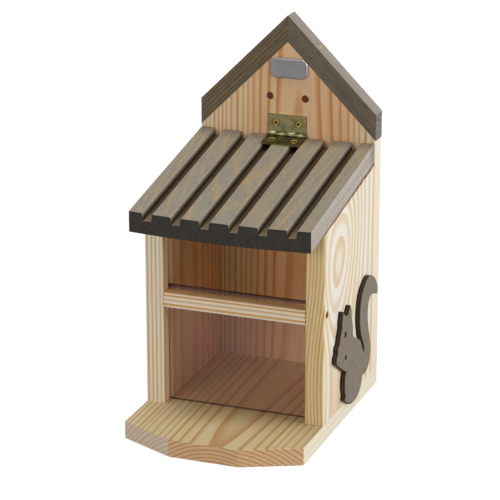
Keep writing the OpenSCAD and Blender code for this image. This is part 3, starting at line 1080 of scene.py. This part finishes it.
@dataclass(frozen=True)
class HingeLeaf:
    """One leaf of the butt hinge, in millimetres: a plate with two countersunk holes and rolled knuckles."""

    length: float = 38.0
    width: float = 19.0
    thick: float = 1.5
    barrel_d: float = 4.6
    pin_d: float = 2.1
    gap: float = 0.3
    knuckles: int = 4
    screw_spacing: float = 22.5
    screw_reach: float = 10.5
    screw_d: float = 3.0
    head_d: float = 6.0
    sink_d: float = 7.0
    over: float = 0.2
    knuckle_ease: float = 0.12
    hole_sides: int = 24
    sides: int = 32

    def tree(self) -> GeometryTree:
        """Builds the tree of the leaf: pin along X, plate towards +Y, seat below.

        Returns:
            The tree; each countersink's cone reaches a little above the face, so that it cuts it.
        """
        lengths = {
            "Length": self.length, "Width": self.width, "Thickness": self.thick,
            "Barrel Radius": self.barrel_d / 2, "Bore Radius": self.pin_d / 2, "Gap": self.gap,
            "Screw Spacing": self.screw_spacing, "Screw Reach": self.screw_reach,
            "Hole Radius": self.screw_d / 2, "Sink Radius": self.sink_d / 2, "Sink Excess": self.over,
        }
        to = GeometryTree("hinge_leaf", lengths, {"Knuckles": self.knuckles})
        length, width, thick, barrel, bore, gap, spacing, reach, hole, sink, over = map(to.size, lengths)
        near = barrel + gap
        seat = near * -1.0
        plate = to.box(
            to.combine(length, width - near, thick), to.combine(0.0, (width + near) / 2, seat + thick / 2)
        )
        drop = sink - hole
        holes = []
        for side in (-0.5, 0.5):
            at = to.combine(spacing * side, reach, seat + thick - drop)
            holes.append(to.rod(self.hole_sides, hole, thick * 4, at))
            holes.append(to.cone(self.sides, sink + over, hole, drop + over, at))
        pierced = to.cut(plate, *holes)
        pitch = length / to.size("Knuckles")
        ring = {"Resolution": self.sides, "Radius": (barrel + bore) / 2}
        path = to.node("GeometryNodeCurvePrimitiveCircle", None, ring)
        section = {"Width": barrel - bore, "Height": pitch - gap}
        wall = to.node("GeometryNodeCurvePrimitiveQuadrilateral", None, section)
        soft = to.node("GeometryNodeFilletCurve", None, {0: wall, "Radius": self.knuckle_ease * MM})
        tube = to.node("GeometryNodeCurveToMesh", None, {0: path, 1: soft})
        roll = to.moved(tube, ORIGIN, (0.0, math.pi / 2, 0.0))
        web = to.box(to.combine(pitch - gap, near, thick), to.combine(0.0, near / 2, seat + thick / 2))
        first, step = to.combine((length - pitch) * -0.5, 0.0, 0.0), to.combine(pitch * 2, 0.0, 0.0)
        count = to.size("Knuckles") / 2
        row = to.node("GeometryNodeMeshLine", None, {"Count": count, "Start Location": first, "Offset": step})
        return to.close(to.joined(pierced, to.repeated(to.joined(roll, web), row)))


@dataclass(frozen=True)
class GroovedLid:
    """The lid board: a cupped section with even grooves, cut plumb at both ends, in millimetres."""

    width: float = 173.0
    front_y: float = -77.5
    rear_y: float = 99.5
    edge_y: float = -41.5
    edge_z: float = 200.0
    slope: float = LID_SLOPE
    thick: float = 19.5
    cup: float = 2.0
    lift: float = 1.027
    grooves: int = 6
    floor_w: float = 7.5
    flare: float = 1.0
    depth: float = 7.0
    outer_ridge: float = 13.0
    ease: float = 0.8
    end_ease: float = 0.5
    # Stretch at the front of the grooves that gets painted light.
    front_painted_light: Pair = (1.0, 24.0)
    stained: Pair = (122.0, 141.0)
    weld: float = 0.001
    flat_angle: float = 0.2
    edge_angle: float = 40.0
    steps: int = 16
    corners: int = 6

    @property
    def pitch(self) -> float:
        """Distance from groove to groove in millimetres."""
        top = self.floor_w + 2 * self.flare
        return (self.width - 2 * self.outer_ridge - top) / (self.grooves - 1)

    def grooves_at(self) -> Grooves:
        """Finds the grooves in the lid's turned frame.

        Returns:
            Their places there, with the stretch at the front where the painted light on their floors fades.
        """
        lean = math.radians(self.slope)
        seat = self.edge_z * math.cos(lean) - self.edge_y * math.sin(lean)
        first = -(self.grooves - 1) / 2 * self.pitch
        top = seat + self.lift + self.thick
        start = self.front_y / math.cos(lean) + top * math.tan(lean)
        shoulder = self.floor_w / 2 + self.flare + self.ease
        front = (start + self.front_painted_light[0], start + self.front_painted_light[1])
        return Grooves(self.pitch, shoulder, first, top, self.cup, self.width / 2, front)

    def tree(self) -> GeometryTree:
        """Builds the tree that sweeps the section along the slope.

        Returns:
            The tree; the section's points run along the underside, up one end, from groove to groove and
            down the other end.
        """
        lengths = {
            "Width": self.width, "Thickness": self.thick, "Cup": self.cup, "Lift": self.lift,
            "Groove Pitch": self.pitch, "Floor Width": self.floor_w, "Flare": self.flare, "Depth": self.depth,
            "Ease": self.ease, "Run": self.rear_y - self.front_y,
        }
        others = {"Groove Count": self.grooves, "Steps": self.steps, "Slope": math.radians(self.slope)}
        to = GeometryTree("grooved_lid", lengths, others)
        width, thick, cup, lift, pitch, floor_w, flare, depth, ease, run = map(to.size, lengths)
        grooves, steps, slope = map(to.size, others)
        index = to.out(to.node("GeometryNodeInputIndex"))

        def dished(x: Value) -> Value:
            """Height of the cupped underside at x."""
            return lift + cup * ((2 * x / width) ** 2.0 - 1)

        under_n = steps + 1
        under_x = width * (index / steps - 0.5)
        on_top = index - under_n - 1
        which = grooves - 1 - (on_top / self.corners).floor()
        corner = on_top % self.corners
        middle = (which - (grooves - 1) / 2) * pitch
        side = 1 - 2 * corner.ramp(2.4, 2.6)
        fold = abs(corner - 2.5)
        lip = floor_w / 2 + flare
        far = fold.ramp(1.9, 2.1)
        mid = fold.ramp(0.9, 1.1)
        half = floor_w / 2 * (1 - mid) + lip * (mid - far) + (lip + ease) * far
        groove_x = middle + side * half
        level = dished(groove_x) + thick - ease * (mid - far)
        bottom = dished(middle) + thick - depth
        groove_z = level * mid + bottom * (1 - mid)
        below = index.below(under_n)
        first_end = abs(index - under_n).below(0.5)
        total = under_n + 2 + grooves * self.corners
        last_end = abs(index - (total - 1)).below(0.5)
        in_groove = (1 - below) * (1 - first_end) * (1 - last_end)
        x = below * under_x + first_end * (width / 2) - last_end * (width / 2) + in_groove * groove_x
        ends = first_end + last_end
        z = below * dished(under_x) + ends * (dished(width / 2) + thick) + in_groove * groove_z
        at = to.combine(x, z / to.math("COSINE", slope), 0.0)
        points = to.node("GeometryNodePoints", None, {"Count": total, "Position": at})
        line = to.node("GeometryNodePointsToCurves", None, {0: points})
        ring = to.node("GeometryNodeSetSplineCyclic", None, {0: line, "Cyclic": True})
        face = to.node("GeometryNodeFillCurve", None, {0: ring})
        standing = to.moved(face, ORIGIN, (math.pi / 2, 0.0, 0.0))
        way = to.combine(0.0, run, run * to.math("TANGENT", slope))
        swept = to.node(
            "GeometryNodeExtrudeMesh", {"mode": "FACES"},
            {0: standing, "Offset": way, "Offset Scale": 1.0, "Individual": False},
        )
        shell = to.joined(swept, to.node("GeometryNodeFlipFaces", None, {0: standing}))
        return to.close(to.node("GeometryNodeMergeByDistance", None, {0: shell, "Distance": self.weld * MM}))

    def build(self) -> None:
        """Builds the lid board with eased edges."""
        stain = GreyStain(
            "lid_stain",
            Rings(
                Axis.Y, pith=(-6.0, -45.0), pitch=2.1, seed=41.0, warp=3.0, tilt=-0.026, lean=-0.04,
                turn=(-self.slope, 0.0, 0.0), onset=0.36,
            ),
            # The pale sides are partly a lighter stain and partly painted light.
            grey="#b6ad9a", dark="#81796b", streak="#c8a674", end="#36322a", pale=(Axis.X, "#bdb2a8"),
            streaks=0.95, patchy=0.3, bloom=0.3, mottled=0.9, grooves=self.grooves_at(), rear=self.stained,
        ).make()
        front_z = self.edge_z + (self.front_y - self.edge_y) * math.tan(math.radians(self.slope))
        at = Matrix.Translation(Vector((0.0, self.front_y, front_z)) * MM)
        raw = self.tree().run("lid_raw", stain, at)
        work = bmesh.new()
        work.from_mesh(raw.data)
        bmesh.ops.recalc_face_normals(work, faces=work.faces)
        Shape.merge_flat(work, math.radians(self.flat_angle))
        work.to_mesh(raw.data)
        work.free()
        sharp = {"limit_method": "ANGLE", "angle_limit": math.radians(self.edge_angle)}
        board = Shape.baked(raw, "grooved_lid", width=self.end_ease * MM, segments=2, **sharp)
        Shape.settle(board, "lid", "grey_stain", ["lid_board"], stain)


@dataclass(frozen=True)
class Hinge:
    """The butt hinge with its pin and screws, in millimetres."""

    pin_y: float = 97.9
    pin_z: float = 246.90474
    slope: float = LID_SLOPE
    leaf: HingeLeaf = HingeLeaf()
    screw_len: float = 15.0
    screw_dome: float = 0.25
    screw_recess: float = 1.6

    def frames(self) -> Dict[str, Matrix]:
        """Finds the frames of the two leaves.

        Returns:
            Each leaf's frame in the shared one.
        """
        at = Matrix.Translation(Vector((0.0, self.pin_y, self.pin_z)) * MM)
        turns = ((math.pi / 2, 0.0, 0.0), (math.radians(self.slope), 0.0, 0.0), (0.0, 0.0, math.pi))
        upright, lean, about = (Euler(turn).to_matrix().to_4x4() for turn in turns)
        return {"fixed": at @ upright, "lid": at @ lean @ about}

    def build(self, leaves: Dict[str, Zinc], steel: Material, gold: Zinc) -> None:
        """Builds both leaves, the pin and the four screws.

        Args:
            leaves: Finishes of the fixed leaf and the lid's leaf.
            steel: Finish of the pin.
            gold: Finish of the screws.
        """
        leaf = self.leaf
        seat = leaf.thick - leaf.barrel_d / 2 - leaf.gap - (leaf.sink_d - leaf.head_d) / 2
        spots = [Vector((s * leaf.screw_spacing / 2, leaf.screw_reach, seat)) * MM for s in (-1, 1)]
        screws = Fasteners(leaf.head_d, leaf.screw_d, self.screw_len, self.screw_dome, self.screw_recess)
        bodies = {"fixed": "house", "lid": "lid"}
        for key, at in self.frames().items():
            _, far, up = at.to_3x3().col
            # The countersinks get painted rings and the far faces a painted highlight.
            zinc = leaves[key].make(sinks=[(at @ s / MM, up, leaf.sink_d / 2) for s in spots], far=far)
            plate = leaf.tree().run(f"{key}_leaf", zinc, at)
            Shape.settle(plate, bodies[key], "yellow_zinc", [f"hinge_{key}_leaf"], zinc)
            # Painted shade in the screws' cross recesses below the head's level.
            dress = gold.make((up, up.dot(at.translation) / MM + seat + screws.dome))
            made = screws.tree().run(f"{key}_screws", dress, at, spots)
            Shape.settle(made, bodies[key], "screw_steel", [f"{key}_leaf_screws"], dress)
        Shape.from_solid("hinge_pin", "pin", Easing.PIN, "screw_steel", steel)


class Carcass:
    """Boards of the house: base, sides, back and rail."""

    def finishes(self) -> Dict[str, Pine]:
        """Gives each board its own run of growth rings.

        Returns:
            Finishes by CAD node.
        """
        return {
            "base_board": Pine(
                "base_pine",
                Rings(
                    Axis.Y, pith=(12.0, -68.0), pitch=3.7, seed=12.0, warp=1.5, phase=-0.42, tilt=-0.0136,
                    onset=0.5, uneven=0.9,
                ),
                # The paler side colour is painted light.
                early="#e5d4a8", late="#bb7a2c", blush="#dfca96", painted_side_light="#f8f2e2",
                # Painted shade and bounce light on the floor behind the pane.
                tints_and_painted_shade=(TintAndPaintedShade(Axis.Z, sign=1.0, tint="#f9e8cc", front=-27.0),),
            ),
            "left_side_panel": Pine(
                "left_pine",
                Rings(Axis.Z, pith=(70.0, 20.0), pitch=3.8, seed=31.0, warp=1.0, uneven=0.3),
                early="#f6f0e2", late="#dda942", blush="#efe2c0", contrast=1.0,
                # Painted shade and bounce light on the inner face.
                tints_and_painted_shade=(TintAndPaintedShade(Axis.X, sign=1.0, tint="#ffe4c6"),),
            ),
            "right_side_panel": Pine(
                "right_pine",
                Rings(
                    Axis.Z, pith=(-513.0, -60.0), pitch=3.3, seed=53.0, warp=1.2, phase=0.84, onset=0.3,
                    swellings=(
                        Swelling(across=7.0, along=166.0, wide=44.0, tall=54.0, high=10.5, lean=0.25),
                        Swelling(across=-60.0, along=60.0, wide=30.0, tall=110.0, high=-14.0),
                    ),
                ),
                # The lower side contrast is partly the wood and partly painted wash-out by the right lamp.
                early="#f3eee2", late="#d8a636", blush="#f0e3c0", washed_side_contrast=0.62,
                under_lid_line=(LID_SLOPE, 204.195),
                tints_and_painted_shade=(
                    # Painted shade and bounce light on the inner face.
                    TintAndPaintedShade(Axis.X, sign=-1.0, tint="#ffe4c6"),
                    # A warmer wood tone on the front edges.
                    TintAndPaintedShade(Axis.Y, sign=-1.0, tint="#fff2d2", half=100.0),
                ),
            ),
            "back_panel": Pine(
                "back_pine",
                Rings(Axis.Z, pith=(14.0, 10.5), pitch=3.0, seed=77.0, warp=2.0, phase=-0.67, tilt=0.0067),
                early="#f1e3c0", late="#cc8248", blush="#e8be90", heart=(102.0, 114.0),
                # The paler side colour is painted light.
                painted_side_light="#f6eddb", holes=((-17.5, 282.4, 3.6), (17.5, 282.4, 3.6)),
                # Painted shade and bounce light on the inner back wall below the lid.
                tints_and_painted_shade=(TintAndPaintedShade(Axis.Y, sign=-1.0, tint="#fff8ec", top=216.0),),
            ),
            "front_rail": Pine(
                "rail_pine",
                Rings(
                    Axis.X, pith=(-37.0, -60.0), pitch=4.3, seed=91.0, warp=0.6, phase=-0.14, onset=0.26,
                    uneven=0.3,
                ),
                early="#fdf5e2", late="#d99b3a", blush="#f4e6c2", contrast=1.0,
                # Painted shade and bounce light on the rail's top under the lid.
                tints_and_painted_shade=(TintAndPaintedShade(Axis.Z, sign=1.0, tint="#ffdcb4"),),
            ),
        }

    def build(self) -> None:
        """Builds the five boards."""
        for node, finish in self.finishes().items():
            slot = "warm_pine" if node == "back_panel" else "pine"
            Shape.from_solid(node, node + "_board", Easing.SANDED, slot, finish.make())


class FeedFront:
    """The clear pane, which slides up behind the rail."""

    def build(self) -> None:
        """Builds the pane on its own body."""
        acrylic = Acrylic().make()
        Shape.from_solid("feed_pane", "clear_pane", Easing.SAWN, "clear_acrylic", acrylic, "pane")


class SquirrelFigure:
    """The plywood squirrel on the right side panel."""

    def build(self) -> None:
        """Builds the figure."""
        plywood = Plywood().make()
        Shape.from_solid("squirrel_figure", "plywood_squirrel", Easing.LASER_CUT, "grey_plywood", plywood)


@dataclass(frozen=True)
class Gable:
    """Caps, plate and their fixings, in millimetres."""

    staple_wire: float = 1.2
    staple_w: float = 7.5
    staple_len: float = 30.0
    staple_bend: float = 0.7
    run: float = 40.0
    skew: float = 30.0
    middle_y: float = 109.5
    point_z: float = 361.26

    def build(self, steel: Material) -> None:
        """Builds the caps, the plate and the staples.

        Args:
            steel: Finish of the staples.
        """
        # The pale cap tops are partly a lighter stain and partly painted light.
        pith, pale = (150.0, 30.0), (Axis.Z, "#a89e93")
        finishes = {
            "left": GreyStain(
                "left_cap_stain",
                Rings(Axis.X, pith, pitch=3.1, seed=14.0, warp=1.6, turn=(0.0, 45.0, 0.0)),
                grey="#6a5f4f", dark="#473e32", streak="#a8803f", end="#8a8178", pale=pale,
                streaks=0.9, patchy=0.2,
            ),
            "right": GreyStain(
                "right_cap_stain",
                Rings(Axis.X, pith, pitch=1.8, seed=27.0, warp=3.4, turn=(0.0, -45.0, 0.0)),
                grey="#6b6158", dark="#453e38", streak="#b09a78", end="#8a8178", pale=pale,
                streaks=0.9, patchy=0.1,
            ),
        }
        for side, finish in finishes.items():
            Shape.from_solid(f"{side}_gable_cap", f"{side}_cap", Easing.SAWN, "grey_stain", finish.make())
        Shape.from_solid("gable_plate", "plate", Easing.PLATE, "plate_metal", PlateMetal().make())
        self.staples(steel)
        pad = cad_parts["plate_adhesive_pad"]
        pad.data.materials.clear()
        pad.data.materials.append(Foam().make())

    def staples(self, steel: Material) -> None:
        """Builds the two staples as square wire along a bent path.

        Args:
            steel: Their finish.
        """
        to = GeometryTree("staple_wire", {"Wire": self.staple_wire, "Bend": self.staple_bend})
        curve = to.node("GeometryNodeMeshToCurve", None, {0: to.start})
        bend = {0: curve, "Radius": to.size("Bend"), "Count": 3}
        bent = to.node("GeometryNodeFilletCurve", {"mode": "POLY"}, bend)
        square = {"Width": to.size("Wire"), "Height": to.size("Wire")}
        wire = to.node("GeometryNodeCurvePrimitiveQuadrilateral", None, square)
        to.close(to.node("GeometryNodeCurveToMesh", None, {0: bent, 1: wire, "Fill Caps": True}))
        half, low = (self.staple_w - self.staple_wire) / 2, -self.staple_wire / 2
        path = ((-half, -self.staple_len), (-half, low), (half, low), (half, -self.staple_len))
        points, edges = [], []
        for turn in (1, -1):
            at = (
                Matrix.Translation(Vector((0.0, self.middle_y, self.point_z)))
                @ Matrix.Scale(turn, 4, Vector((1.0, 0.0, 0.0)))
                @ Matrix.Rotation(math.pi / 4, 4, "Y")
                @ Matrix.Translation(Vector((self.run, 0.0, 0.0)))
                @ Matrix.Rotation(math.radians(self.skew), 4, "Z")
            )
            base = len(points)
            points += [tuple((at @ Vector((x, 0.0, z))) * MM) for x, z in path]
            edges += [(base + i, base + i + 1) for i in range(len(path) - 1)]
        made = to.run("staples", steel, None, points, edges)
        Shape.settle(made, "house", "screw_steel", ["gable_staples"], steel)


@dataclass(frozen=True)
class Fixings:
    """Sunk screws of the carcass and of the rail, in millimetres."""

    side_x: float = 78.0
    side_y: Pair = (9.5, -68.5)
    side_z: Pair = (62.0, 180.80514)
    back_at: Pair = (45.0, -109.5)
    outer_x: float = 87.0
    wall_y: float = 118.5
    sink: float = 0.5
    rail_at: Pair = (-33.5, 122.5)
    screw: Fasteners = Fasteners(head_d=8.0, shank_d=4.0, length=40.0, dome=0.05, recess=1.8, seed=5)
    rail_screw: Fasteners = Fasteners(head_d=7.0, shank_d=3.5, length=35.0, dome=0.05, recess=1.6, seed=8)

    def build(self, steel: Material, dark: Material) -> None:
        """Builds the screws under the base, those in the back and those of the rail.

        Args:
            steel: Finish of the carcass screws.
            dark: Finish of the rail's screws, a darker zinc as painted shade.
        """
        both = (-1, 1)
        under = [(s * self.side_x, y) for s in both for y in self.side_y]
        under += [(s * self.back_at[0], self.back_at[1]) for s in both]
        below = self.frame((0.0, 0.0, self.sink), math.pi, "X")
        self.put(self.screw, "base_screw_set", under, [below], steel, "base_screws")
        rear = [(s * self.side_x, -z) for s in both for z in self.side_z]
        behind = self.frame((0.0, self.wall_y - self.sink, 0.0), -math.pi / 2, "X")
        self.put(self.screw, "back_screw_set", rear, [behind], steel, "back_panel_screws")
        level = self.outer_x - self.sink
        sides = [self.frame((s * level, *self.rail_at), s * math.pi / 2, "Y") for s in both]
        self.put(self.rail_screw, "rail_screw_set", [(0.0, 0.0)], sides, dark, "rail_screws")

    def frame(self, at: Point, turn: float, axis: str) -> Matrix:
        """A frame at a place in millimetres, turned about an axis."""
        return Matrix.Translation(Vector(at) * MM) @ Matrix.Rotation(turn, 4, axis)

    def put(
        self, screw: Fasteners, name: str, places: Sequence[Pair], frames: Sequence[Matrix],
        steel: Material, node: str,
    ) -> None:
        """Puts one set of screws in place.

        Args:
            screw: The screw.
            name: Name of the set.
            places: Places of the heads in the set's frame, in millimetres.
            frames: The set's frames; each gets all the places.
            steel: Finish.
            node: CAD node that the set stands for.
        """
        points = [(x * MM, y * MM, 0.0) for x, y in places]
        made = [screw.tree().run(f"{name}_{i}", steel, at, points) for i, at in enumerate(frames)]
        for piece in made[1:]:
            Shape.absorb(made[0], piece)
        Shape.settle(made[0], "house", "screw_steel", [node], steel)


@dataclass(frozen=True)
class Lamp:
    """A square lamp: place and side in metres, power in watts, and tint."""

    name: str
    at: Point
    size: float
    power: float
    tint: Point


@dataclass(frozen=True)
class Studio:
    """Camera, pale floor and soft light, with places in metres."""

    eye: Point = (0.71675, -1.89361, 0.85385)
    yaw: float = 0.36087
    pitch: float = 0.3285
    lens: float = 167.85
    sensor: float = 36.0
    shift: Pair = (-0.00382, -0.00147)
    clip: Pair = (0.05, 50.0)
    world: float = 0.19
    floor_reach: float = 6.0
    floor_drop: float = 0.0003
    floor_grey: float = 0.6
    floor_glow: float = 1.16
    floor_share: float = 0.84
    aim: Point = (0.0, 0.0, 0.18)
    lamps: Tuple[Lamp, ...] = (
        Lamp("right_light", at=(2.1, 0.1, 0.7), size=1.2, power=33.0, tint=(0.97, 1.0, 1.04)),
        Lamp("left_light", at=(-0.7, -1.9, 0.6), size=1.0, power=13.0, tint=(1.0, 0.98, 0.94)),
        Lamp("top_light", at=(-0.35, -0.25, 2.2), size=0.5, power=12.0, tint=(1.0, 0.97, 0.91)),
        Lamp("rear_light", at=(-0.4, 2.0, 0.2), size=1.0, power=11.0, tint=(1.0, 0.99, 0.97)),
    )

    def build(self) -> None:
        """Builds the camera, the floor, the world and the lamps."""
        self.camera()
        self.floor()
        self.sky()
        for lamp in self.lamps:
            data = bpy.data.lights.new(lamp.name, "AREA")
            data.size, data.energy, data.color = lamp.size, lamp.power, lamp.tint
            self.place(lamp.name, data, lamp.at, Vector(self.aim) - Vector(lamp.at))

    def place(self, name: str, data: ID, at: Point, way: Vector) -> Object:
        """Puts a camera or a lamp in the scene.

        Args:
            name: Name of the object.
            data: Its camera or light.
            at: Its place in metres.
            way: Direction that it looks in.

        Returns:
            The new object.
        """
        made = Shape.link(name, data)
        made.location = at
        made.rotation_mode = "QUATERNION"
        made.rotation_quaternion = way.to_track_quat("-Z", "Y")
        return made

    def camera(self) -> None:
        """Builds the camera at the photograph's viewing angle."""
        data = bpy.data.cameras.new("view")
        data.sensor_width, data.lens = self.sensor, self.lens
        data.shift_x, data.shift_y = self.shift
        data.clip_start, data.clip_end = self.clip
        level = math.cos(self.pitch)
        back = Vector((math.sin(self.yaw) * level, -math.cos(self.yaw) * level, math.sin(self.pitch)))
        bpy.context.scene.camera = self.place("view", data, self.eye, -back)

    def seen(self, to: Graph) -> Value:
        """Tells the rays that show the backdrop: from the camera, off gloss or through glass.

        Args:
            to: Tree that asks.

        Returns:
            1 for those rays, else 0.
        """
        rays = to.node("ShaderNodeLightPath")
        kinds = ("Camera", "Glossy", "Transmission")
        camera, gloss, glass = (to.out(rays, f"Is {kind} Ray") for kind in kinds)
        return camera.most(gloss).most(glass)

    def floor(self) -> None:
        """Builds the floor, which keeps a faint shadow."""
        mesh = bpy.data.meshes.new("floor")
        around = ((-1, -1), (1, -1), (1, 1), (-1, 1))
        corners = [(x * self.floor_reach, y * self.floor_reach, -self.floor_drop) for x, y in around]
        mesh.from_pydata(corners, [], [(0, 1, 2, 3)])
        material = bpy.data.materials.new("pale_floor")
        material.use_nodes = True
        to = Graph(material.node_tree)
        matt = to.node("ShaderNodeBsdfDiffuse", None, {"Color": (*[self.floor_grey] * 3, 1.0)})
        glow = to.node("ShaderNodeEmission", None, {"Color": WHITE, "Strength": self.floor_glow})
        both = to.node("ShaderNodeMixShader", None, {0: self.seen(to) * self.floor_share, 1: matt, 2: glow})
        to.node("ShaderNodeOutputMaterial", None, {"Surface": both})
        mesh.materials.append(material)
        Shape.link("floor", mesh)

    def sky(self) -> None:
        """Sets the world: white to the eye, plain soft light on the object."""
        world = bpy.data.worlds.new("studio")
        bpy.context.scene.world = world
        world.use_nodes = True
        to = Graph(world.node_tree)
        strength = self.world + self.seen(to) * (1 - self.world)
        back = to.node("ShaderNodeBackground", None, {"Color": WHITE, "Strength": strength})
        to.node("ShaderNodeOutputWorld", None, {"Surface": back})


def main() -> None:
    """Builds the pieces in order."""
    logging.basicConfig(level=logging.INFO, format="%(name)s: %(message)s")
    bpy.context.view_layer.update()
    bpy.context.scene.view_settings.view_transform = "Standard"
    Studio().build()
    leaves = {
        "fixed": Zinc("yellow_zinc", base="#625b3c", tone="#757050", bright="#cfc898", seed=2.0),
        # The lid's leaf is a darker copy of the zinc as painted shade; its countersink rings are a painted
        # highlight.
        "lid": Zinc(
            "shaded_zinc", base="#4d4528", tone="#5d5636", bright="#8f8a62", seed=4.0, sink="#b0a876"
        ),
    }
    gold = Zinc("screw_gold", base="#c8a348", tone="#aa8a48", bright="#e6d08c", seed=9.0, rough=0.3)
    steel = Zinc("pin_steel", base="#8d8862", tone="#777250", bright="#b9b48e", seed=13.0, rough=0.32)
    # A darker zinc for the rail's screws: painted shade on their sunk heads.
    dark = Zinc("rail_screw_zinc", base="#6f6436", tone="#57502f", bright="#9a9160", seed=17.0, rough=0.45)
    plain = steel.make()
    Carcass().build()
    FeedFront().build()
    SquirrelFigure().build()
    Gable().build(gold.make())
    GroovedLid().build()
    Hinge().build(leaves, plain, gold)
    Fixings().build(plain, dark.make())


if __name__ == "__main__":
    main()
